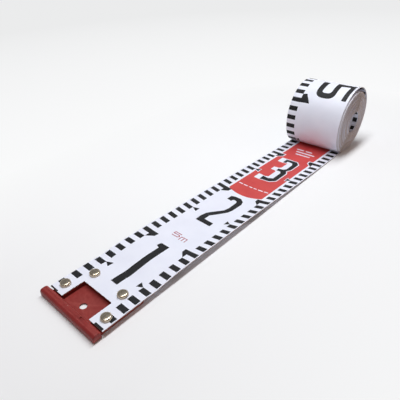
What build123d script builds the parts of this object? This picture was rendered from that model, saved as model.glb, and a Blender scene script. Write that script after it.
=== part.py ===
from build123d import *
import math
import os

# Ribbon leveling rod, partly rolled up. Lengths in millimetres.
# X runs along the ribbon from the zero end to the roll, Z is up, the floor is at z = 0.
# The origin is on the axis of the foot's pin hole, at the floor.

# Ribbon; the run is the length that lies out, from the zero end to the roll
ribbon_width = 60.0
ribbon_thickness = 0.7
run_length = 358.6

# Foot moulding: a round bar across the zero end and a plate behind it
bar_lead = 0.6
bar_depth = 6.2
bar_height = 5.6
bar_top_radius = 2.4
bar_sole_radius = 0.8
bar_end_radius = 0.7
bar_overhang = 1.0
# The ribbon and the plate lie this far off the middle of the bar
bar_offset = 1.3
plate_length = 44.5
plate_height = 4.3
plate_inset = 2.2
plate_corner_radius = 2.0
web_thickness = 1.0
recess_margin = 0.7
groove_width = 2.0
groove_depth = 2.0
pin_setback = 13.2
pin_hole_radius = 2.8
gate_dimple_length = 3.6
gate_dimple_width = 2.2
gate_dimple_depth = 0.7
gate_dimple_y = -12.2
gate_dimple_setback = 4.2

# Window in the ribbon tab, over the recess of the plate
window_length = 19.8
window_width = 31.4
window_corner_radius = 1.0
tab_end_clearance = 0.9

# Cap rivets, in two pairs
rivet_cap_radius = 4.2
rivet_cap_height = 2.5
rivet_cap_rim = 0.5
rivet_head_radius = 3.6
rivet_head_height = 0.5
rivet_stem_radius = 1.7
rivet_nose_radius = 1.1
rivet_nose_length = 0.7
rivet_clearance = 0.1
tongue_rivet_setback = 15.3
tongue_rivet_spacing = 46.6
strip_rivet_setback = 35.5
strip_rivet_spacing = 31.6

# Flex lines: one behind the foot, one before the roll, the rest evenly between them
foot_flex_lead = 4.0
roll_flex_lead = 20.6
flex_gap = 0.6
# Height of the run's underside at each line between, from the foot to the roll
run_flex_heights = (3.9, 2.0, 0.9)

# Roll
roll_radius = 35.0
roll_bore_radius = 10.5
turn_gap = 0.46
gap_samples_per_turn = 48

# Levels and places that follow from the sizes above
sole_z = rivet_head_height
web_z = sole_z + web_thickness
rim_z = sole_z + plate_height
tab_z = rim_z + ribbon_thickness
zero_x = -pin_setback
tab_start = bar_depth + tab_end_clearance
window_end = bar_depth + window_length
foot_flex_setback = plate_length + foot_flex_lead
roll_flex_setback = run_length - roll_flex_lead
roll_pitch = ribbon_thickness + turn_gap
roll_turns = int((roll_radius - roll_bore_radius) / roll_pitch)


def along(setback):
    """X of a place that lies at this distance from the zero end."""
    return zero_x + setback


def rivet_places():
    pairs = (
        (tongue_rivet_setback, tongue_rivet_spacing),
        (strip_rivet_setback, strip_rivet_spacing),
    )
    return [(along(setback), side * spacing / 2) for setback, spacing in pairs for side in (1, -1)]


def block(start, end, width, bottom, top):
    """Box from one setback to another, centred across the ribbon."""
    box = Box(end - start, width, top - bottom, align=(Align.MIN, Align.CENTER, Align.MIN))
    return Pos(along(start), 0, bottom) * box


def post_hole(radius, place, bottom, top):
    hole = Cylinder(radius, top - bottom, align=(Align.CENTER, Align.CENTER, Align.MIN))
    return Pos(place[0], place[1], bottom) * hole


def window_cut(bottom, top, margin=0.0):
    """Window and recess: open to the bar, rounded in the far corners."""
    cut = block(bar_depth, window_end + margin, window_width + 2 * margin, bottom, top)
    far_corners = cut.edges().filter_by(Axis.Z).group_by(Axis.X)[-1]
    return fillet(far_corners, window_corner_radius)


def make_bar():
    width = ribbon_width + 2 * bar_overhang
    bar = Pos(0, bar_offset, 0) * block(-bar_lead, bar_depth, width, sole_z, sole_z + bar_height)
    long_edges = bar.edges().filter_by(Axis.Y)
    bar = fillet(long_edges.group_by(Axis.Z)[-1], bar_top_radius)
    front_sole_edge = bar.edges().filter_by(Axis.Y).group_by(Axis.Z)[0].sort_by(Axis.X)[0]
    bar = fillet(front_sole_edge, bar_sole_radius)
    end_faces = bar.faces().filter_by(Plane.XZ)
    return fillet(end_faces.edges(), bar_end_radius)


def gate_dimple():
    """Oval mark on top of the bar where the moulding was filled."""
    oval = SlotOverall(gate_dimple_length, gate_dimple_width, rotation=90)
    top = sole_z + bar_height
    spot = Pos(along(gate_dimple_setback), gate_dimple_y, top - gate_dimple_depth)
    return spot * extrude(oval, gate_dimple_depth + ribbon_thickness)


def make_foot():
    plate = block(0, plate_length, ribbon_width - 2 * plate_inset, sole_z, rim_z)
    rear_corners = plate.edges().filter_by(Axis.Z).group_by(Axis.X)[-1]
    plate = fillet(rear_corners, plate_corner_radius)
    foot = plate - window_cut(web_z, tab_z, recess_margin)
    # Groove between the bar and the plate, under the ends of the ribbon's tongues
    foot = foot - block(bar_depth, bar_depth + groove_width, ribbon_width, rim_z - groove_depth, rim_z)
    foot = foot + make_bar()
    foot = foot - gate_dimple()
    foot = foot - post_hole(pin_hole_radius, (0, 0), 0, rim_z)
    for place in rivet_places():
        foot = foot - post_hole(rivet_stem_radius + rivet_clearance, place, 0, tab_z)
    return foot


def make_rivet_cap():
    """Domed cap with a blind socket for the nose of the post, standing on z = 0."""
    dome_height = rivet_cap_height - rivet_cap_rim
    dome_radius = (rivet_cap_radius**2 + dome_height**2) / (2 * dome_height)
    sphere = Pos(0, 0, rivet_cap_height - dome_radius) * Sphere(dome_radius)
    body = Cylinder(rivet_cap_radius, rivet_cap_height, align=(Align.CENTER, Align.CENTER, Align.MIN))
    socket_depth = rivet_nose_length + rivet_clearance
    socket = post_hole(rivet_nose_radius + rivet_clearance, (0, 0), 0, socket_depth)
    return (body & sphere) - socket


def make_rivet_post():
    """Flat head under the plate, stem through plate and ribbon, nose in the cap."""
    head = post_hole(rivet_head_radius, (0, 0), 0, rivet_head_height)
    stem = post_hole(rivet_stem_radius, (0, 0), 0, tab_z)
    nose = post_hole(rivet_nose_radius, (0, 0), 0, tab_z + rivet_nose_length)
    return head + stem + nose


def make_tab():
    end = foot_flex_setback - flex_gap / 2
    tab = block(tab_start, end, ribbon_width, rim_z, tab_z)
    tab = tab - window_cut(rim_z, tab_z)
    for place in rivet_places():
        tab = tab - post_hole(rivet_stem_radius + rivet_clearance, place, rim_z, tab_z)
    return tab


def flex_points():
    """Setback and middle height of the ribbon at each flex line, from the foot to the roll."""
    half = ribbon_thickness / 2
    heights = (rim_z,) + run_flex_heights + (0.0,)
    step = (roll_flex_setback - foot_flex_setback) / (len(heights) - 1)
    return [(foot_flex_setback + index * step, height + half) for index, height in enumerate(heights)]


def make_run(near, far):
    """Flat length of ribbon between two flex lines, half a gap short of each."""
    rise = far[1] - near[1]
    reach = far[0] - near[0]
    span = math.hypot(reach, rise)
    slope = math.degrees(math.atan2(rise, reach))
    strip = Box(span - flex_gap, ribbon_width, ribbon_thickness)
    middle = Pos(along((near[0] + far[0]) / 2), 0, (near[1] + far[1]) / 2)
    return middle * Rot(0, -slope, 0) * strip


def half_turns():
    """Centre height and outer radius of each half turn, from the outside in."""
    turns = []
    foot_point = 0.0
    for index in range(2 * roll_turns):
        radius = roll_radius - index * roll_pitch / 2
        rising = index % 2 == 0
        centre = foot_point + radius if rising else foot_point - radius
        turns.append((centre, radius, rising))
        foot_point = centre + radius if rising else centre - radius
    return turns


def turn_arcs(inset):
    """Half circles that follow the ribbon, this far inside its outer face."""
    x = along(run_length)
    arcs = []
    for centre, radius, rising in half_turns():
        start_angle = -90 if rising else 90
        arcs.append(CenterArc((x, centre), radius - inset, start_angle, 180))
    return arcs


def make_roll():
    """Ribbon from the last flex line on: a short flat length and the turns, as one strip."""
    start = along(roll_flex_setback + flex_gap / 2)
    tangent = along(run_length)
    outer = turn_arcs(0)
    inner = turn_arcs(ribbon_thickness)
    edges = [Line((start, 0), (tangent, 0))] + outer
    edges += [Line(outer[-1] @ 1, inner[-1] @ 1)] + inner[::-1]
    edges += [Line((tangent, ribbon_thickness), (start, ribbon_thickness))]
    edges += [Line((start, ribbon_thickness), (start, 0))]
    profile = Plane.XZ * make_face(edges)
    return extrude(profile, ribbon_width / 2, both=True)


def least_gap():
    """Least distance between neighbouring turns, measured on points of both faces."""
    steps = gap_samples_per_turn // 2
    shares = [step / steps for step in range(steps + 1)]
    outer = turn_arcs(0)
    inner = turn_arcs(ribbon_thickness)
    gaps = []
    for index in range(len(outer) - 2):
        wall = [inner[index] @ share for share in shares]
        next_wall = [outer[index + 2] @ share for share in shares]
        gaps += [min((point - other).length for other in next_wall) for point in wall]
    return min(gaps)


points = flex_points()
nodes = {
    "foot": make_foot(),
    "rivet_caps": Compound(children=[Pos(x, y, tab_z) * make_rivet_cap() for x, y in rivet_places()]),
    "rivet_posts": Compound(children=[Pos(x, y, 0) * make_rivet_post() for x, y in rivet_places()]),
    "ribbon_tab": make_tab(),
    "ribbon_roll": make_roll(),
}
for letter, near, far in zip("abcd", points, points[1:]):
    nodes["ribbon_run_" + letter] = make_run(near, far)

os.makedirs("parts", exist_ok=True)
for name, shape in nodes.items():
    export_step(shape, "parts/" + name + ".step")
print("least gap between turns of the roll: %.3f mm" % least_gap())
for setback, height in points:
    print("flex line at x %.3f, z %.3f mm" % (along(setback), height))
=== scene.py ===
import math

import bpy
import numpy as np
from mathutils import Matrix, Vector
from mathutils.geometry import delaunay_2d_cdt


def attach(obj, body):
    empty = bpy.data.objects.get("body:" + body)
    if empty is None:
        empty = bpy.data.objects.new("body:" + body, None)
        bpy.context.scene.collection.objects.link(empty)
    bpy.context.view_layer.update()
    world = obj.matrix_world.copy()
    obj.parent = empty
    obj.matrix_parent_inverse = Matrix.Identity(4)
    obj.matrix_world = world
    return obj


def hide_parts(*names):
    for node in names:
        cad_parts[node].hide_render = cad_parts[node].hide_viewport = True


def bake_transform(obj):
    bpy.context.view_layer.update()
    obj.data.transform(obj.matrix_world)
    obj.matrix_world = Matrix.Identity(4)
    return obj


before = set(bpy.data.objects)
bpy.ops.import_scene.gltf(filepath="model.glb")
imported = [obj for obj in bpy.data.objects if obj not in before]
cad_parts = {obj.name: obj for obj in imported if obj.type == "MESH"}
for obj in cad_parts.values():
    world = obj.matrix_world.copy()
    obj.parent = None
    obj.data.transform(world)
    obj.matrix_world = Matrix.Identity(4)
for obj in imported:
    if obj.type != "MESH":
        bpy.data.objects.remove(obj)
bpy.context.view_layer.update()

# Ribbon leveling rod. The object's own lengths are in millimetres here; shaders, floor, lamps and
# camera are in metres, as all Blender objects are.
MM = 0.001

# Ribbon: s runs along it from the zero end, y across it, and the front face looks up on the run
ZERO_X = -13.2
HALF_WIDTH = 30.0
TOTAL_LENGTH = 5000.0
RUN_LENGTH = 358.6
RUN_THICKNESS = 0.7
ROLL_THICKNESS = 0.52
TAB_START = 7.1
WINDOW_END = 26.0
WINDOW_HALF_WIDTH = 15.7
WINDOW_CORNER_RADIUS = 1.0
WINDOW_CORNER_STEPS = 4
RIVET_HOLE_RADIUS = 1.8
RIVETS = [(15.3, 23.3), (15.3, -23.3), (35.5, 15.8), (35.5, -15.8)]

# Along the run, as (s, height): the front face over the floor at the middle of the edge blocks,
# and how far the ribbon's edges curl up above its middle
RUN_HEIGHTS = [
    (0, 5.5), (44, 5.5), (52, 4.95), (62, 5.8), (76, 6.55), (90, 6.4), (110, 5.7), (140, 4.9),
    (180, 4.05), (230, 2.75), (280, 1.7), (325, 0.85), (358.6, 0.7),
]
RUN_DISH = [
    (0, 0), (70, 0.2), (90, 0.9), (105, 2.4), (120, 3.2), (140, 3.6), (165, 3.7), (190, 3.4),
    (210, 2.7), (230, 2.0), (260, 1.2), (280, 0.85), (310, 0.25), (325, 0), (358.6, 0),
]
BLOCK_MIDDLE = 25.0
PATH_STEP = 0.5

# Roll: angles are in radians from the contact line, up the far side first. It is followed in
# steps of one degree, for more turns than the ribbon's length can fill
ROLL_RADIUS = 35.0
ROLL_PITCH = 0.672
BORE_RADIUS = 11.0
MOST_TURNS = 40
LEAST_RADIUS = 6.0
THINNING_ANGLE = 1.5
# The outer turn stands off the others, which are smaller and lie nearer the zero end
ROLL_SLACK = 1.5
SLACK_SHIFT = -1.6
SLACK_ANGLES = (0.9 * math.pi, 1.55 * math.pi)
# The bore lies off the middle, and the turns shift towards it from this radius on
BORE_SHIFT = (4.0, -2.2)
SHIFT_START_RADIUS = ROLL_RADIUS - 2.0
MOST_SHIFT_SHARE = 1.2
# The turns sag on the run in front of the contact line, as far as there is room under them
ROLL_SAG = 3.2
SAG_ANGLES = (0.7, 2.0)
SAG_ROOM_SHARE = 0.9
SAG_LEAN = 0.35
# The free end turns off across the bore as a flap
FLAP_LENGTH = 21.5
FLAP_TURN = 66.0
FLAP_BEND = 6.0
# Sideways, the inner turns drift to the right and wobble: size, rate and start of each wave
ROLL_DRIFT = -1.2
DRIFT_ANGLES = (6.5, 16.0)
WOBBLES = [(0.22, 1.7, 0.6), (0.16, 4.1, 0.0)]
WOBBLE_ANGLES = (8.5, 13.0)


def srgb(red, green, blue):
    """Linear colour of an sRGB colour given as 0 to 255."""
    def linear(value):
        share = value / 255.0
        return share / 12.92 if share <= 0.04045 else ((share + 0.055) / 1.055) ** 2.4
    return (linear(red), linear(green), linear(blue), 1.0)


def smoothstep(low, high, value):
    share = np.clip((np.asarray(value, float) - low) / (high - low), 0.0, 1.0)
    return share * share * (3.0 - 2.0 * share)


def soft_least(first, second):
    """The lesser of two lengths, with a smooth change from one to the other."""
    return (first**-4 + second**-4) ** -0.25


def smooth_curve(points, at):
    """Smooth curve through points that doesn't overshoot them."""
    xs, ys = np.array(points, float).T
    steps = np.diff(ys) / np.diff(xs)
    slopes = np.zeros(len(xs))
    product = steps[:-1] * steps[1:]
    total = steps[:-1] + steps[1:]
    total = np.where(np.abs(total) > 1e-12, total, 1.0)
    slopes[1:-1] = np.where(product > 0, 2.0 * product / total, 0.0)
    index = np.clip(np.searchsorted(xs, at, side="right") - 1, 0, len(xs) - 2)
    width = xs[index + 1] - xs[index]
    t = (at - xs[index]) / width
    return (
        (2 * t**3 - 3 * t**2 + 1) * ys[index]
        + (t**3 - 2 * t**2 + t) * width * slopes[index]
        + (3 * t**2 - 2 * t**3) * ys[index + 1]
        + (t**3 - t**2) * width * slopes[index + 1]
    )


def add_object(name, data):
    made = bpy.data.objects.new(name, data)
    bpy.context.scene.collection.objects.link(made)
    return made


# Path of the ribbon's middle surface


def thickness_at(angle):
    """Thickness of the ribbon, which is tighter in the roll than on the run."""
    share = smoothstep(0, THINNING_ANGLE, angle)
    return RUN_THICKNESS + (ROLL_THICKNESS - RUN_THICKNESS) * share


def roll_points():
    """Angle and points of the wound ribbon: up the far side, over the top and down the front."""
    angle = np.radians(np.arange(0.0, 360.0 * MOST_TURNS, 1.0))
    slack = smoothstep(*SLACK_ANGLES, angle)
    radius = ROLL_RADIUS - ROLL_SLACK * slack - ROLL_PITCH * angle / (2 * math.pi)
    shift_room = SHIFT_START_RADIUS - BORE_RADIUS
    shift = np.clip((SHIFT_START_RADIUS - radius) / shift_room, 0.0, MOST_SHIFT_SHARE)
    middle = radius - thickness_at(angle) / 2
    x = ZERO_X + RUN_LENGTH + SLACK_SHIFT * slack + BORE_SHIFT[0] * shift + middle * np.sin(angle)
    z = ROLL_RADIUS - ROLL_SLACK * slack + BORE_SHIFT[1] * shift - middle * np.cos(angle)
    # Angle left to the contact line on the way down the front
    ahead = np.where(angle > math.pi, (-angle) % (2 * math.pi), math.pi)
    room = SAG_ROOM_SHARE * ROLL_RADIUS * (1.0 - np.cos(ahead)) + 1e-6
    sag = soft_least(room, ROLL_SAG) * (1.0 - smoothstep(*SAG_ANGLES, ahead))
    sag *= np.clip((radius - BORE_RADIUS) / shift_room, 0.0, 1.0)
    x -= SAG_LEAN * sag
    z -= sag
    keep = radius > LEAST_RADIUS
    return angle[keep], x[keep], z[keep]


def flap_points(start, roll_x, roll_z):
    """Path of the free end from where it leaves the innermost turn: s, x and z."""
    heading = math.atan2(roll_z[-1] - roll_z[-2], roll_x[-1] - roll_x[-2])
    s = np.arange(start + PATH_STEP, TOTAL_LENGTH + PATH_STEP / 2, PATH_STEP)
    turn = heading + math.radians(FLAP_TURN) * smoothstep(0.0, FLAP_BEND, s - start)
    x = roll_x[-1] + np.cumsum(PATH_STEP * np.cos(turn))
    z = roll_z[-1] + np.cumsum(PATH_STEP * np.sin(turn))
    return s, x, z


def make_path():
    """Dense table of the path: s, x, z, normal of the front face, dish, thickness, sideways
    drift and winding angle."""
    run_s = np.arange(0.0, RUN_LENGTH, PATH_STEP)
    run_dish = smooth_curve(RUN_DISH, run_s)
    run_front = smooth_curve(RUN_HEIGHTS, run_s) - run_dish * (BLOCK_MIDDLE / HALF_WIDTH) ** 2
    angle, roll_x, roll_z = roll_points()
    steps = np.hypot(np.diff(roll_x), np.diff(roll_z))
    roll_s = RUN_LENGTH + np.concatenate([[0.0], np.cumsum(steps)])
    keep = roll_s < TOTAL_LENGTH - FLAP_LENGTH
    roll_s, roll_x, roll_z, angle = roll_s[keep], roll_x[keep], roll_z[keep], angle[keep]
    flap_s, flap_x, flap_z = flap_points(roll_s[-1], roll_x, roll_z)
    s = np.concatenate([run_s, roll_s, flap_s])
    x = np.concatenate([ZERO_X + run_s, roll_x, flap_x])
    z = np.concatenate([run_front - RUN_THICKNESS / 2, roll_z, flap_z])
    angle = np.concatenate([np.zeros(len(run_s)), angle, np.full(len(flap_s), angle[-1])])
    dish = np.concatenate([run_dish, np.zeros(len(s) - len(run_s))])
    slope_x, slope_z = np.gradient(x, s), np.gradient(z, s)
    length = np.hypot(slope_x, slope_z)
    wobble = sum(size * np.sin(rate * angle / math.pi + start) for size, rate, start in WOBBLES)
    drift = ROLL_DRIFT * smoothstep(*DRIFT_ANGLES, angle)
    drift = drift + wobble * smoothstep(*WOBBLE_ANGLES, angle)
    return {
        "s": s, "x": x, "z": z, "nx": -slope_z / length, "nz": slope_x / length,
        "dish": dish, "dish_slope": np.gradient(dish, s),
        "thickness": thickness_at(angle), "drift": drift, "angle": angle,
    }


PATH = make_path()


def along(key, s):
    return np.interp(s, PATH["s"], PATH[key])


# Print: shapes are closed lines of (s, y) points, and later ones lie over earlier ones. The kinds
# of print are numbered in the order of the ribbon's materials
WHITE, BLACK, RED, RED_DARK, EDGE = range(5)

# Edge blocks of both prints, and near the free end those that show in the bore
BLOCK_STEP = 10
BLOCK_LENGTH = 5.0
PRINT_END = 640
FREE_END_PRINT = 110
FRONT_IN, FRONT_OUT = 20.8, 29.1
FREE_END_IN = 18.0
BACK_IN, BACK_OUT = 20.0, 29.9
BACK_TIP, BACK_MARK_BASE = 9.0, 15.6
# The back's lines lie a little nearer the zero end than the front's
BACK_SHIFT = -3.0
# Each edge of the front: its side, the tips of its flags and the bases of its half marks. Those
# on the red field have a white outline
FRONT_SIDES = [(1, 14.5, 15.4), (-1, 15.4, 16.2)]
FLAG_LINES, FLAG_LINES_ON_RED = (100, 200, 300, 400), (300, 400)
MARK_LINES, MARK_LINES_ON_RED = (50, 150, 250, 350), (250, 350)
# The tongues of the tab are pulled a little askew, the left one more, and these blocks with them
TAB_SKEW = {
    (10, 1): (-1.9, 0.8), (20, 1): (-1.9, 0.8), (30, 1): (-1.0, 0.9), (40, 1): (-0.4, 0.7),
    (10, -1): (-1.1, 0.0), (20, -1): (-0.4, 0.0),
}

# Red field with a bowed start, a row of dashes across it and bars in place of words
RED_START, RED_END, RED_HALF_WIDTH = 197.3, 420.0, 18.5
RED_BOW, RED_BOW_MIDDLE, RED_BOW_POINTS = 4.2, 1.0, 15
DASH_ROW = (214.9, 216.2)
DASHES = [(16.5, 12.2), (10.9, 6.6), (4.6, 1.2), (-0.6, -3.8), (-5.6, -10.6), (-12.2, -16.8)]
BAR_HALF_HEIGHT = 1.0
BARS = [(321.5, 11.5, 3.0), (321.5, 0.5, -7.0), (315.5, 9.0, -12.5), (309.5, 6.5, -10.0)]
FLAG_OUTLINE, MARK_OUTLINE, NUMERAL_OUTLINE = 1.2, 1.0, 1.0
NUMERAL_SHADE = (0.3, 5.0)

FRONT_ONE = [(39.1, 1.8), (39.1, -5.0), (92.7, -4.9), (92.7, 4.2), (88.2, 4.9), (87.0, 1.4)]
FRONT_TWO = [
    (183.6, 7.6), (190.3, 7.5), (191.8, 3.3), (191.7, -2.6), (188.0, -7.2), (183.0, -8.9),
    (170.0, -8.5), (165.0, -7.2), (156.5, -1.7), (151.0, 2.3), (144.1, 2.3), (143.0, -8.2),
    (137.7, -8.4), (138.4, 7.8), (146.5, 8.0), (152.4, 7.0), (157.4, 4.0), (166.2, -2.4),
    (171.8, -3.4), (182.8, -3.2), (185.4, -2.0), (186.2, 0.9), (185.6, 2.2), (183.0, 2.8),
]
FRONT_THREE = [
    (282.0, 6.6), (290.5, 6.6), (290.7, -5.6), (285.9, -9.5), (271.0, -9.4), (265.4, -6.9),
    (260.8, -9.6), (241.2, -9.5), (236.6, -5.0), (235.4, 6.1), (242.8, 6.1), (241.8, 0.2),
    (244.4, -4.5), (258.4, -4.4), (261.4, -2.4), (261.4, 2.4), (266.2, 2.4), (266.8, -2.4),
    (269.8, -4.8), (281.4, -4.7), (285.6, -2.6), (286.0, 3.0), (282.4, 3.3),
]
# Length mark 5m, drawn with one stroke width
LENGTH_MARK = [
    [(112.9, 0.7), (112.9, 7.0), (110.6, 7.2), (111.0, 1.4), (109.5, 0.3), (108.0, 1.4),
     (108.0, 7.0)],
    [(106.2, -1.8), (110.6, -1.6), (110.6, -7.4), (106.2, -7.8)],
    [(106.2, -4.7), (110.6, -4.6)],
]
LENGTH_MARK_STROKE = 0.8

# Back numerals in a box 28 wide and 36 tall: to the right along s, upwards to the -Y edge
BACK_NUMERALS = {
    1: [[(11.0, 0), (17.5, 0), (17.5, 36), (12.0, 36), (5.0, 31.5), (5.0, 26.5), (11.0, 30.0)]],
    2: [[(0, 27.5), (6.5, 27.5), (7.2, 29.8), (20.5, 29.8), (21.5, 28.6), (21.5, 23.6),
         (20.6, 21.6), (0, 7.4), (0, 0), (28, 0), (28, 6.4), (9.6, 6.4), (25.4, 17.6), (28, 21.6),
         (28, 31.4), (23.6, 36), (4.4, 36), (0, 31.4)]],
    3: [[(0, 27.8), (6.5, 27.8), (7.2, 29.8), (20.5, 29.8), (21.5, 28.8), (21.5, 22.4),
         (20.2, 21.2), (9, 21.2), (9, 15.0), (20.2, 15.0), (21.5, 13.8), (21.5, 7.4), (20.5, 6.4),
         (7.2, 6.4), (6.5, 8.4), (0, 8.4), (0, 4.6), (4.4, 0), (23.6, 0), (28, 4.6), (28, 15.0),
         (25.4, 18.1), (28, 21.2), (28, 31.4), (23.6, 36), (4.4, 36), (0, 31.4)]],
    4: [[(16.5, 0), (23.0, 0), (23.0, 36), (16.5, 36)],
        [(0, 7.5), (28, 7.5), (28, 13.5), (0, 13.5)],
        [(0, 13.5), (7.6, 13.5), (23.0, 36), (15.4, 36)]],
    5: [[(0, 36.2), (0, 15.8), (17.2, 16.2), (19.6, 15.6), (20.9, 13.6), (21.3, 8.9), (20.6, 7.1),
         (18.7, 6.3), (1.0, 6.8), (1.0, 0), (20.5, 0.5), (23.6, 1.3), (26.0, 3.1), (27.4, 5.8),
         (27.9, 9.5), (27.9, 14.4), (27.2, 17.6), (25.5, 20.1), (23.0, 21.4), (20.0, 21.7),
         (6.3, 21.4), (5.7, 31.2), (27.2, 30.2), (27.2, 35.2)]],
}
NUMERAL_STEP = 100
NUMERAL_LEAD = 32.5
NUMERAL_BASE = 8.0

# Keeps the sharpest corners of a grown shape from being drawn out too far
SHARP_CORNER_LIMIT = 0.35


def grown(shape, by):
    """Shape with each side moved outwards by a distance."""
    points = [np.array(p, float) for p in shape]
    area = sum(a[0] * b[1] - a[1] * b[0] for a, b in zip(points, points[1:] + points[:1]))
    if area < 0:
        points.reverse()
    made = []
    neighbours = zip(points[-1:] + points[:-1], points, points[1:] + points[:1])
    for before, here, after in neighbours:
        first = (here - before) / np.linalg.norm(here - before)
        second = (after - here) / np.linalg.norm(after - here)
        out_first = np.array([first[1], -first[0]])
        out_second = np.array([second[1], -second[0]])
        middle = out_first + out_second
        reach = by / max(SHARP_CORNER_LIMIT, (1.0 + float(out_first @ out_second)) / 2.0)
        made.append(tuple(here + middle / 2.0 * reach))
    return made


def moved(shape, ds, dy):
    return [(s + ds, y + dy) for s, y in shape]


def swept(shape, ds, dy):
    """Shapes that a shape covers while it moves straight."""
    parts = [shape, moved(shape, ds, dy)]
    for a, b in zip(shape, shape[1:] + shape[:1]):
        parts.append([a, b, (b[0] + ds, b[1] + dy), (a[0] + ds, a[1] + dy)])
    return parts


def strokes(points, width):
    """Bars along a broken line, with square ends that close its corners."""
    bars = []
    for a, b in zip(points, points[1:]):
        a, b = np.array(a, float), np.array(b, float)
        way = (b - a) / np.linalg.norm(b - a) * width / 2
        side = np.array([-way[1], way[0]])
        corners = (a - way + side, a - way - side, b + way - side, b + way + side)
        bars.append([tuple(corner) for corner in corners])
    return bars


def block(start, end, y_near, y_far):
    return [(start, y_near), (end, y_near), (end, y_far), (start, y_far)]


def front_flag(line, side, tip):
    """Edge block at a numeral's line, drawn out to a tip."""
    shape = [
        (line - BLOCK_LENGTH, FRONT_OUT), (line, FRONT_OUT), (line, tip), (line - 4.6, tip + 0.4),
        (line - 9.9, FRONT_IN), (line - BLOCK_LENGTH, FRONT_IN),
    ]
    return [(s, side * y) for s, y in shape]


def front_half_mark(line, side, base):
    """Small triangle half way between two numerals, with its point at an edge block."""
    return [
        (line - 0.2, side * FRONT_IN), (line + 2.9, side * base), (line - 3.1, side * base),
    ]


def red_field():
    """Red field, and on it what is left white."""
    across = np.linspace(RED_HALF_WIDTH, -RED_HALF_WIDTH, RED_BOW_POINTS)
    bow = [(RED_START + RED_BOW * ((y - RED_BOW_MIDDLE) / RED_HALF_WIDTH) ** 2, y) for y in across]
    layers = [(RED, [(RED_END, RED_HALF_WIDTH)] + bow + [(RED_END, -RED_HALF_WIDTH)])]
    for side, tip, base in FRONT_SIDES:
        for line in FLAG_LINES_ON_RED:
            layers.append((WHITE, grown(front_flag(line, side, tip), FLAG_OUTLINE)))
        for line in MARK_LINES_ON_RED:
            layers.append((WHITE, grown(front_half_mark(line, side, base), MARK_OUTLINE)))
    layers += [(WHITE, block(*DASH_ROW, start, end)) for start, end in DASHES]
    for row, start, end in BARS:
        layers.append((WHITE, block(row - BAR_HALF_HEIGHT, row + BAR_HALF_HEIGHT, start, end)))
    shaded = swept(grown(FRONT_THREE, NUMERAL_OUTLINE), *NUMERAL_SHADE)
    return layers + [(WHITE, shape) for shape in shaded]


def front_print():
    layers = red_field()
    free_end = int(TOTAL_LENGTH)
    block_lines = list(range(BLOCK_STEP, PRINT_END, BLOCK_STEP))
    block_lines += list(range(free_end - FREE_END_PRINT, free_end, BLOCK_STEP))
    for side, tip, base in FRONT_SIDES:
        for line in block_lines:
            inner = FRONT_IN if line < PRINT_END else FREE_END_IN
            bar = block(line - BLOCK_LENGTH, line, side * inner, side * FRONT_OUT)
            layers.append((BLACK, moved(bar, *TAB_SKEW.get((line, side), (0.0, 0.0)))))
        for line in FLAG_LINES:
            layers.append((BLACK, front_flag(line, side, tip)))
        for line in MARK_LINES:
            layers.append((BLACK, front_half_mark(line, side, base)))
    layers += [(BLACK, shape) for shape in (FRONT_ONE, FRONT_TWO, FRONT_THREE)]
    for line in LENGTH_MARK:
        layers += [(RED_DARK, bar) for bar in strokes(line, LENGTH_MARK_STROKE)]
    return layers


def back_print():
    """Print on the back, all black: blocks along one edge, flags, half marks and numerals."""
    shapes = []
    for line in range(BLOCK_STEP, PRINT_END, BLOCK_STEP):
        shapes.append(block(line, line + BLOCK_LENGTH, BACK_IN, BACK_OUT))
    for line in range(NUMERAL_STEP, PRINT_END, NUMERAL_STEP):
        shapes.append([
            (line + BLOCK_LENGTH, BACK_OUT), (line, BACK_OUT), (line, BACK_IN),
            (line - BLOCK_LENGTH, BACK_IN), (line - 6.2, BACK_MARK_BASE), (line + 4.4, BACK_TIP),
        ])
    for line in range(NUMERAL_STEP // 2, PRINT_END, NUMERAL_STEP):
        base = [(line + 5.6, BACK_MARK_BASE), (line - 0.6, BACK_MARK_BASE)]
        shapes.append([(line + 2.5, BACK_IN)] + base)
    for number, parts in BACK_NUMERALS.items():
        start = NUMERAL_STEP * number - NUMERAL_LEAD
        shapes += [[(start + u, NUMERAL_BASE - v) for u, v in part] for part in parts]
    return [(BLACK, moved(shape, BACK_SHIFT, 0.0)) for shape in shapes]


FRONT_PRINT = front_print()
BACK_PRINT = back_print()

# Ribbon pieces

ACROSS_STEPS = 12
ACROSS = [float(y) for y in np.linspace(-HALF_WIDTH, HALF_WIDTH, ACROSS_STEPS + 1)]
# Points nearer than this distance become one, and triangles under this area are left out
MERGE_DISTANCE = 1e-4
LEAST_AREA = 1e-7
# How far a point may be off an outline's side to be on it, and how early each side starts and ends
OUTLINE_OFF = 2e-3
OUTLINE_REACH = 1e-3


def circle(centre, radius, count=24):
    turns = [2 * math.pi * i / count for i in range(count)]
    return [(centre[0] + radius * math.cos(t), centre[1] + radius * math.sin(t)) for t in turns]


def inside(shape, points):
    """Which of the points lie in a closed line."""
    result = np.zeros(len(points), bool)
    px, py = points[:, 0], points[:, 1]
    for (ax, ay), (bx, by) in zip(shape, shape[1:] + shape[:1]):
        if ay == by:
            continue
        crosses = (ay > py) != (by > py)
        at = (bx - ax) * (py - ay) / (by - ay) + ax
        result ^= crosses & (px < at)
    return result


def strip_outline(start, end):
    return [(end, y) for y in ACROSS] + [(start, y) for y in reversed(ACROSS)]


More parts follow.
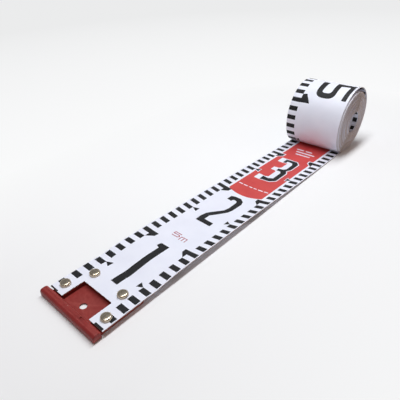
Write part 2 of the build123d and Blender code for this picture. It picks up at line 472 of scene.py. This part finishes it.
def tab_outline(end):
    """Outline of the first piece: two tongues beside the window, which has rounded far corners."""
    radius = WINDOW_CORNER_RADIUS
    corner = []
    for step in range(WINDOW_CORNER_STEPS + 1):
        turn = math.radians(90.0 * step / WINDOW_CORNER_STEPS)
        corner.append((WINDOW_END - radius + radius * math.sin(turn),
                       WINDOW_HALF_WIDTH - radius + radius * math.cos(turn)))
    notch = [(TAB_START, WINDOW_HALF_WIDTH)] + corner
    notch += [(s, -y) for s, y in reversed(corner)] + [(TAB_START, -WINDOW_HALF_WIDTH)]
    far = [(end, y) for y in ACROSS]
    return [(TAB_START, -HALF_WIDTH)] + far + [(TAB_START, HALF_WIDTH)] + notch


def lined(outline, holes, cross_lines, across, layers):
    """Triangles of a printed face, cut by lines across the ribbon with so many steps each:
    points, triangles and the print layer of each."""
    points, edges = [], []

    def add(shape, closed=True):
        first, count = len(points), len(shape)
        points.extend(Vector(p) for p in shape)
        sides = count if closed else count - 1
        edges.extend((first + i, first + (i + 1) % count) for i in range(sides))

    low = min(s for s, _ in outline)
    high = max(s for s, _ in outline)
    add(outline)
    for hole in holes:
        add(hole)
    for s in cross_lines:
        add([(s, y) for y in np.linspace(-HALF_WIDTH, HALF_WIDTH, across + 1)], closed=False)
    near = [(kind, shape) for kind, shape in layers
            if max(p[0] for p in shape) > low and min(p[0] for p in shape) < high]
    for _, shape in near:
        add(shape)
    made = delaunay_2d_cdt(points, edges, [], 0, MERGE_DISTANCE)
    verts = np.array([tuple(v) for v in made[0]])
    faces = np.array([list(f) for f in made[2]])
    corners = verts[faces]
    first, second = corners[:, 1] - corners[:, 0], corners[:, 2] - corners[:, 0]
    area = first[:, 0] * second[:, 1] - first[:, 1] * second[:, 0]
    faces[area < 0] = faces[area < 0][:, ::-1]
    centres = verts[faces].mean(axis=1)
    keep = inside(outline, centres) & (np.abs(area) > LEAST_AREA)
    for hole in holes:
        keep &= ~inside(hole, centres)
    faces, centres = faces[keep], centres[keep]
    kinds = np.full(len(faces), WHITE)
    for kind, shape in near:
        kinds[inside(shape, centres)] = kind
    used, index = np.unique(faces, return_inverse=True)
    return verts[used], index.reshape(faces.shape), kinds


def on_loop(points, loop):
    """Indices of the points on a closed line, in order along it, with their distance along it."""
    found = {}
    walked = 0.0
    for a, b in zip(loop, loop[1:] + loop[:1]):
        a, b = np.array(a, float), np.array(b, float)
        length = np.linalg.norm(b - a)
        way = (b - a) / length
        reach = (points - a) @ way
        off = np.abs((points - a) @ np.array([-way[1], way[0]]))
        on_side = (off < OUTLINE_OFF) & (reach > -OUTLINE_REACH) & (reach < length - OUTLINE_REACH)
        for i in np.nonzero(on_side)[0]:
            found[int(i)] = walked + max(0.0, float(reach[i]))
        walked += length
    return sorted(found.items(), key=lambda item: item[1]), walked


def zipped(front, back, total):
    """Wall between two closed rows of points, each a list of (index, distance along the loop)."""
    front = front + [(front[0][0], total + front[0][1])]
    back = back + [(back[0][0], total + back[0][1])]
    faces, i, j = [], 0, 0
    while i < len(front) - 1 or j < len(back) - 1:
        if j == len(back) - 1 or (i < len(front) - 1 and front[i + 1][1] <= back[j + 1][1]):
            faces.append((back[j][0], front[i + 1][0], front[i][0]))
            i += 1
        else:
            faces.append((back[j][0], back[j + 1][0], front[i][0]))
            j += 1
    return faces


def edge_walls(outline, holes, front_points, back_points):
    """Cut edge of a piece, round its outline and in its holes. Back points follow the front's."""
    walls = []
    for number, loop in enumerate([outline] + holes):
        front_row, total = on_loop(front_points, loop)
        back_row, total = on_loop(back_points, loop)
        back_row = [(i + len(front_points), distance) for i, distance in back_row]
        wall = zipped(front_row, back_row, total)
        walls += wall if number == 0 else [face[::-1] for face in wall]
    return walls


def placed(s, y, side):
    """Places and front normals of points of the ribbon; side is 0.5 in front and -0.5 behind."""
    curl = (y / HALF_WIDTH) ** 2
    lean = -2.0 * along("dish", s) * y / HALF_WIDTH**2
    normal_x = along("nx", s) - along("dish_slope", s) * curl
    normal = np.stack([normal_x, lean, along("nz", s)], axis=1)
    normal /= np.linalg.norm(normal, axis=1)[:, None]
    height = along("z", s) + along("dish", s) * curl
    place = np.stack([along("x", s), y + along("drift", s), height], axis=1)
    place += normal * (side * along("thickness", s))[:, None]
    return place, normal


def wall_normal(a, b, c):
    out = np.cross(b - a, c - a)
    return out / max(np.linalg.norm(out), 1e-12)


def ribbon_piece(name, outline, holes, cross_lines, across, materials):
    """Closed piece of ribbon with a printed front, a printed back and a cut edge."""
    front_points, front_faces, front_kinds = lined(
        outline, holes, cross_lines, across, FRONT_PRINT)
    back_points, back_faces, back_kinds = lined(outline, holes, cross_lines, across, BACK_PRINT)
    first_back = len(front_points)
    s, y = np.concatenate([front_points, back_points]).T
    side = np.concatenate([np.full(first_back, 0.5), np.full(len(back_points), -0.5)])
    place, normal = placed(s, y, side)
    fronts = [tuple(int(i) for i in face) for face in front_faces]
    backs = [tuple(int(i) + first_back for i in face[::-1]) for face in back_faces]
    walls = edge_walls(outline, holes, front_points, back_points)
    kinds = np.concatenate([front_kinds, back_kinds, np.full(len(walls), EDGE)])
    mesh = bpy.data.meshes.new(name)
    mesh.from_pydata((place * MM).tolist(), [], fronts + backs + walls)
    for material in materials:
        mesh.materials.append(material)
    mesh.polygons.foreach_set("material_index", kinds.astype(np.int32))
    mesh.polygons.foreach_set("use_smooth", np.ones(len(kinds), bool))
    flat = mesh.attributes.new("flat", "FLOAT_VECTOR", "POINT")
    flat_places = np.stack([s, y, side], axis=1) * MM
    flat.data.foreach_set("vector", flat_places.astype(np.float32).ravel())
    corners = [normal[i] for face in fronts for i in face]
    corners += [-normal[i] for face in backs for i in face]
    for face in walls:
        corners += [wall_normal(*(place[i] for i in face))] * 3
    mesh.update()
    mesh.normals_split_custom_set([tuple(map(float, corner)) for corner in corners])
    return add_object(name, mesh)


# Materials


class NodeTree:
    """Nodes of a material or of the world, with short calls for those used here."""

    def __init__(self, owner):
        owner.use_nodes = True
        self.nodes = owner.node_tree.nodes
        self.links = owner.node_tree.links

    def node(self, kind, **values):
        made = self.nodes.new(kind)
        for key, value in values.items():
            if key in made.inputs:
                made.inputs[key].default_value = value
            else:
                setattr(made, key, value)
        return made

    def link(self, source, target):
        self.links.new(source, target)

    def feed(self, target, value):
        """Give a socket a constant, or link it to another socket."""
        if isinstance(value, (int, float, tuple)):
            target.default_value = value
        else:
            self.link(value, target)

    def noise(self, vector, scale, detail=3.0):
        made = self.node("ShaderNodeTexNoise", Scale=scale, Detail=detail)
        self.link(vector, made.inputs["Vector"])
        return made.outputs["Fac"]

    def wave(self, vector, scale, direction):
        made = self.node("ShaderNodeTexWave", Scale=scale, bands_direction=direction)
        self.link(vector, made.inputs["Vector"])
        return made.outputs["Fac"]

    def spread(self, source, low, high, to_low=0.0, to_high=1.0):
        """Spread a range of values over another one."""
        made = self.node("ShaderNodeMapRange")
        ends = {"From Min": low, "From Max": high, "To Min": to_low, "To Max": to_high}
        for name, value in ends.items():
            made.inputs[name].default_value = value
        self.link(source, made.inputs["Value"])
        return made.outputs["Result"]

    def math(self, operation, first, second=0.0):
        made = self.node("ShaderNodeMath", operation=operation)
        self.feed(made.inputs[0], first)
        self.feed(made.inputs[1], second)
        return made.outputs["Value"]

    def mix(self, factor, first, second):
        made = self.node("ShaderNodeMix", data_type="RGBA")
        for index, value in ((0, factor), (6, first), (7, second)):
            self.feed(made.inputs[index], value)
        return made.outputs[2]

    def split(self, vector):
        made = self.node("ShaderNodeSeparateXYZ")
        self.link(vector, made.inputs["Vector"])
        return made.outputs

    def outside(self, coordinate, middle, half):
        """How far a coordinate lies outside a span."""
        off = self.math("ABSOLUTE", self.math("SUBTRACT", coordinate, middle))
        return self.math("MAXIMUM", self.math("SUBTRACT", off, half), 0.0)

    def seen(self):
        """One where the eye looks straight, in a reflection or through something."""
        rays = self.node("ShaderNodeLightPath").outputs
        seen = self.math("ADD", rays["Is Camera Ray"], rays["Is Glossy Ray"])
        return self.math("MINIMUM", self.math("ADD", seen, rays["Is Transmission Ray"]), 1.0)


# Most values of a noise lie in this range
NOISE_RANGE = (0.3, 0.7)


class Shader(NodeTree):
    """Material with one surface."""

    def __init__(self, name):
        self.material = bpy.data.materials.new(name)
        super().__init__(self.material)
        self.surface = self.nodes["Principled BSDF"]

    def flat(self):
        """Places on the unrolled ribbon, in metres."""
        return self.node("ShaderNodeAttribute", attribute_name="flat").outputs["Vector"]

    def place(self):
        return self.node("ShaderNodeTexCoord").outputs["Object"]

    def colour(self, source):
        self.link(source, self.surface.inputs["Base Color"])

    def roughness(self, value):
        self.feed(self.surface.inputs["Roughness"], value)

    def specular(self, value):
        self.surface.inputs["Specular IOR Level"].default_value = value

    def bump(self, height, strength, distance):
        made = self.node("ShaderNodeBump", Strength=strength, Distance=distance)
        self.link(height, made.inputs["Height"])
        self.link(made.outputs["Normal"], self.surface.inputs["Normal"])


def ribbon_material(name, main, other, rough, specular):
    """Coated cloth: faint mottling, a fine weave under the coat and a satin gloss."""
    shader = Shader(name)
    flat = shader.flat()
    mottle = shader.spread(shader.noise(flat, scale=55.0, detail=4.0), 0.35, 0.65)
    shader.colour(shader.mix(mottle, main, other))
    threads = [shader.wave(flat, scale=640.0, direction=way) for way in ("X", "Y")]
    weave = shader.math("MULTIPLY", shader.math("ADD", *threads), 0.25)
    height = shader.math("ADD", weave, shader.noise(flat, scale=300.0, detail=2.0))
    shader.bump(height, strength=0.12, distance=0.00006)
    rubbed = shader.noise(flat, scale=120.0)
    shader.roughness(shader.spread(rubbed, *NOISE_RANGE, *rough))
    shader.specular(specular)
    return shader.material


def edge_material():
    """Cut edge of the ribbon: layers of cloth and coat, a little dusty."""
    shader = Shader("ribbon_edge")
    flat = shader.flat()
    dust = shader.spread(shader.noise(flat, scale=240.0, detail=4.0), *NOISE_RANGE)
    bands = shader.spread(shader.noise(flat, scale=5.0, detail=2.0), 0.38, 0.62)
    layers = shader.mix(bands, srgb(206, 190, 180), srgb(168, 146, 136))
    shader.colour(shader.mix(dust, layers, srgb(158, 142, 134)))
    shader.bump(shader.noise(flat, scale=2200.0, detail=2.0), strength=0.4, distance=0.0001)
    shader.roughness(0.75)
    return shader.material


def foot_material():
    """Red moulding: fine mould texture, uneven gloss, and convex edges paler, partly as rubbing
    and partly as a painted edge highlight.
    """
    shader = Shader("foot_red")
    place = shader.place()
    mottle = shader.spread(shader.noise(place, scale=160.0, detail=4.0), *NOISE_RANGE)
    base = shader.mix(mottle, srgb(132, 38, 36), srgb(120, 33, 31))
    # Paler on sharp convex edges: rubbing, and a painted highlight along the edges
    edges = shader.spread(shader.node("ShaderNodeNewGeometry").outputs["Pointiness"], 0.52, 0.60)
    rubbed_and_highlit = shader.math("MULTIPLY", edges, shader.noise(place, scale=420.0))
    shader.colour(shader.mix(rubbed_and_highlit, base, srgb(160, 72, 66)))
    coarse = shader.math("MULTIPLY", shader.noise(place, scale=420.0), 1.5)
    grain = shader.math("ADD", shader.noise(place, scale=2600.0, detail=2.0), coarse)
    shader.bump(grain, strength=0.16, distance=0.00008)
    rubbed = shader.noise(place, scale=230.0)
    shader.roughness(shader.spread(rubbed, *NOISE_RANGE, 0.34, 0.48))
    shader.specular(0.28)
    return shader.material


def rivet_material():
    """Nickel plate with fine rubbing marks and a warm tarnish."""
    shader = Shader("rivet_nickel")
    place = shader.place()
    tarnish = shader.spread(shader.noise(place, scale=500.0, detail=4.0), 0.35, 0.75)
    shader.colour(shader.mix(tarnish, srgb(196, 184, 166), srgb(170, 156, 136)))
    stretched = shader.node("ShaderNodeMapping", Scale=(9000.0, 700.0, 3000.0))
    shader.link(place, stretched.inputs["Vector"])
    scratches = shader.noise(stretched.outputs["Vector"], scale=1.0, detail=2.0)
    shader.bump(scratches, strength=0.015, distance=0.00004)
    shader.roughness(shader.spread(scratches, *NOISE_RANGE, 0.20, 0.28))
    shader.surface.inputs["Metallic"].default_value = 1.0
    return shader.material


# Floor: a square, with the object's own ground inside it as the middle and half size in X and Y.
# The paper gives way to a glowing backdrop over these distances from the ground
FLOOR_HALF = 6.0
GROUND_X, GROUND_Y = (0.173, 0.2), (0.0, 0.03)
PAPER_FADE = (0.035, 0.20)
# The backdrop's glow is strongest near the ground and dims further off: a painted falloff of light
GLOW_FADE, GLOW_FALLOFF_STRENGTHS = (0.05, 1.1), (0.98, 0.84)


def floor_material():
    """Pale paper round the object, with its shadow; further off a glowing backdrop that the lamp
    doesn't darken, dimming away from the object as a painted falloff of light."""
    shader = Shader("floor_paper")
    place = shader.place()
    paper = shader.noise(place, scale=3.0, detail=2.0)
    shader.colour(shader.mix(paper, srgb(238, 239, 241), srgb(235, 236, 238)))
    shader.roughness(0.9)
    shader.specular(0.1)
    ways = shader.split(place)
    off_x = shader.outside(ways["X"], *GROUND_X)
    off_y = shader.outside(ways["Y"], *GROUND_Y)
    squares = [shader.math("MULTIPLY", off, off) for off in (off_x, off_y)]
    distance = shader.math("SQRT", shader.math("ADD", *squares))
    # Glow that dims with distance from the ground, as painted falloff of light
    glow = shader.node("ShaderNodeEmission", Color=(0.99, 0.995, 1.0, 1.0))
    shader.link(shader.spread(distance, *GLOW_FADE, *GLOW_FALLOFF_STRENGTHS), glow.inputs["Strength"])
    both = shader.node("ShaderNodeMixShader")
    share = shader.math("MULTIPLY", shader.spread(distance, *PAPER_FADE), shader.seen())
    shader.link(share, both.inputs["Fac"])
    shader.link(shader.surface.outputs["BSDF"], both.inputs[1])
    shader.link(glow.outputs["Emission"], both.inputs[2])
    shader.link(both.outputs["Shader"], shader.nodes["Material Output"].inputs["Surface"])
    return shader.material


ribbon_materials = [
    ribbon_material("ribbon_white", srgb(230, 233, 246), srgb(226, 229, 243),
                    rough=(0.30, 0.40), specular=0.5),
    ribbon_material("print_black", srgb(24, 24, 27), srgb(31, 31, 34),
                    rough=(0.46, 0.58), specular=0.2),
    ribbon_material("print_red", srgb(202, 70, 68), srgb(194, 63, 63),
                    rough=(0.34, 0.46), specular=0.4),
    ribbon_material("print_dark_red", srgb(166, 58, 74), srgb(154, 52, 68),
                    rough=(0.36, 0.48), specular=0.4),
    edge_material(),
]

# Pieces: the run is cut into parts, each round one of its flex lines, and the roll rides as a
# whole

RUN_CUTS = [TAB_START, 82.5, 152.5, 232.5, 302.5, RUN_LENGTH]
RUN_NODES = ["ribbon_tab", "ribbon_run_a", "ribbon_run_b", "ribbon_run_c", "ribbon_run_d"]
# Cross lines of the run, clear of the ends of each piece
RUN_LINE_STEP = 2.5
RUN_LINE_CLEARANCE = 0.3
# Cross lines of the roll: degrees between them on the outermost turn and in it, and millimetres
# on the flap
OUTER_TURN_END = 400.0
OUTER_TURN_STEP = 3.0
INNER_TURN_START = 405.0
INNER_TURN_STEP = 7.5
FLAP_LINE_STEP = 1.0
FLAP_LINE_LEAD = 0.5


def run_lines(start, end):
    lines = np.arange(RUN_LINE_STEP / 2, RUN_LENGTH, RUN_LINE_STEP)
    low, high = start + RUN_LINE_CLEARANCE, end - RUN_LINE_CLEARANCE
    return [float(s) for s in lines if low < s < high]


def roll_lines():
    """Cross lines of the roll: close together on the outermost turn, and where the flap bends."""
    outer = np.arange(OUTER_TURN_STEP, OUTER_TURN_END, OUTER_TURN_STEP)
    inner = np.arange(INNER_TURN_START, math.degrees(PATH["angle"][-1]), INNER_TURN_STEP)
    on_roll = PATH["s"] > RUN_LENGTH
    angles = np.radians(np.concatenate([outer, inner]))
    turns = np.interp(angles, PATH["angle"][on_roll], PATH["s"][on_roll])
    flap_start = TOTAL_LENGTH - FLAP_LENGTH
    flap = np.arange(flap_start + FLAP_LINE_LEAD, TOTAL_LENGTH - FLAP_LINE_STEP, FLAP_LINE_STEP)
    lines = [float(s) for s in turns if s < flap_start - FLAP_LINE_LEAD]
    return lines + [float(s) for s in flap]


for index, node in enumerate(RUN_NODES):
    start, end = RUN_CUTS[index], RUN_CUTS[index + 1]
    outline = tab_outline(end) if index == 0 else strip_outline(start, end)
    holes = [circle(place, RIVET_HOLE_RADIUS) for place in RIVETS] if index == 0 else []
    name = node.replace("ribbon_", "printed_")
    lines = run_lines(start, end)
    piece = ribbon_piece(name, outline, holes, lines, ACROSS_STEPS, ribbon_materials)
    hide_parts(node)
    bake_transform(piece)

roll_outline = strip_outline(RUN_LENGTH, TOTAL_LENGTH)
roll = ribbon_piece("printed_roll", roll_outline, [], roll_lines(), 1, ribbon_materials)
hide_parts("ribbon_roll")
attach(roll, "roll")

# Rivet caps: a nearly flat crown with a well rounded rim, as (radius, height) from the middle out

CAP_PROFILE = [
    (0.0, 2.50), (0.8, 2.49), (1.6, 2.45), (2.4, 2.38), (2.9, 2.30), (3.2, 2.21), (3.45, 2.09),
    (3.65, 1.93), (3.83, 1.70), (3.97, 1.40), (4.08, 1.02), (4.16, 0.55), (4.2, 0.0),
]
CAP_SIDES = 40


def cap_mesh():
    """All four caps as one mesh, each closed under its crown."""
    verts, faces = [], []
    rings = len(CAP_PROFILE) - 1
    for s, y in RIVETS:
        top = len(verts)
        x, base = ZERO_X + s, float(smooth_curve(RUN_HEIGHTS, np.array([s]))[0])
        verts.append((x, y, base + CAP_PROFILE[0][1]))
        for radius, height in CAP_PROFILE[1:]:
            verts += [(px, py, base + height) for px, py in circle((x, y), radius, CAP_SIDES)]
        ring_starts = [top + 1 + ring * CAP_SIDES for ring in range(rings)]
        for k in range(CAP_SIDES):
            after = (k + 1) % CAP_SIDES
            faces.append((top, ring_starts[0] + k, ring_starts[0] + after))
            for upper, lower in zip(ring_starts, ring_starts[1:]):
                faces.append((upper + k, lower + k, lower + after, upper + after))
        faces.append(tuple(ring_starts[-1] + k for k in reversed(range(CAP_SIDES))))
    mesh = bpy.data.meshes.new("rivet_crowns")
    mesh.from_pydata([tuple(MM * c for c in v) for v in verts], [], faces)
    mesh.polygons.foreach_set("use_smooth", [len(face) < CAP_SIDES for face in faces])
    mesh.update()
    return mesh


nickel = rivet_material()
crown_mesh = cap_mesh()
crown_mesh.materials.append(nickel)
crowns = add_object("rivet_crowns", crown_mesh)
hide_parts("rivet_caps")
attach(crowns, "foot")

for node, material in (("foot", foot_material()), ("rivet_posts", nickel)):
    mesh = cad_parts[node].data
    mesh.materials.clear()
    mesh.materials.append(material)

# Floor, light and camera

floor_signs = ((-1, -1), (1, -1), (1, 1), (-1, 1))
floor_corners = [(FLOOR_HALF * x, FLOOR_HALF * y, 0) for x, y in floor_signs]
floor_mesh = bpy.data.meshes.new("floor")
floor_mesh.from_pydata(floor_corners, [], [(0, 1, 2, 3)])
floor_mesh.materials.append(floor_material())
floor = add_object("floor", floor_mesh)

# The room is warm on the right of the ribbon and cool on its left, with a pale backdrop near the
# horizon
WARM = (0.28, 0.196, 0.154, 1.0)
COOL = (0.266, 0.272, 0.28, 1.0)
PALE = (0.84, 0.838, 0.83, 1.0)
SIDE_FADE = (-0.5, 0.3)
HORIZON_FADE = (0.42, 0.22)
world = bpy.data.worlds.new("studio")
bpy.context.scene.world = world
sky = NodeTree(world)
direction = sky.split(sky.node("ShaderNodeTexCoord").outputs["Generated"])
room = sky.mix(sky.spread(direction["Y"], *SIDE_FADE), WARM, COOL)
backdrop = sky.math("MULTIPLY", sky.seen(), sky.spread(direction["Z"], *HORIZON_FADE))
background = sky.nodes["Background"]
sky.link(sky.mix(backdrop, room, PALE), background.inputs["Color"])
background.inputs["Strength"].default_value = 1.0


def stand(place, right, up, back):
    """Matrix of a thing at a place, from the directions to its right, above it and behind it."""
    return Matrix.Translation(place) @ Matrix((right, up, back)).transposed().to_4x4()


def area_light(name, place, target, size, power, colour):
    """Lamp of a given length along X and width, turned to a place."""
    data = bpy.data.lights.new(name, "AREA")
    data.shape = "RECTANGLE"
    data.size, data.size_y = size
    data.energy = power
    data.color = colour
    back = (Vector(place) - Vector(target)).normalized()
    side = Vector((0.0, 1.0, 0.0)).cross(back).normalized()
    add_object(name, data).matrix_world = stand(place, side, back.cross(side), back)


# A long lamp over the ribbon, a little to its left
area_light("tube", place=(0.27, 0.06, 0.72), target=(0.27, 0.0, 0.0), size=(0.80, 0.09),
           power=5.6, colour=(0.955, 0.985, 1.0))
# A weak lamp that lights the end of the roll
area_light("side", place=(1.05, -1.02, 0.80), target=(0.1, 0.0, 0.0), size=(0.30, 0.30),
           power=0.5, colour=(1.0, 0.99, 0.97))

camera_data = bpy.data.cameras.new("camera")
camera_data.sensor_width = 36.0
camera_data.lens = 35.719
camera_data.shift_x = 0.0755
camera_data.clip_start = 0.01
camera = add_object("camera", camera_data)
camera.matrix_world = stand(
    place=(-0.08826, -0.18008, 0.20419),
    right=(0.69414, -0.71835, -0.04630),
    up=(0.41371, 0.34547, 0.84231),
    back=(-0.58908, -0.60384, 0.53700),
)
bpy.context.scene.camera = camera
bpy.context.scene.view_settings.view_transform = "Standard"
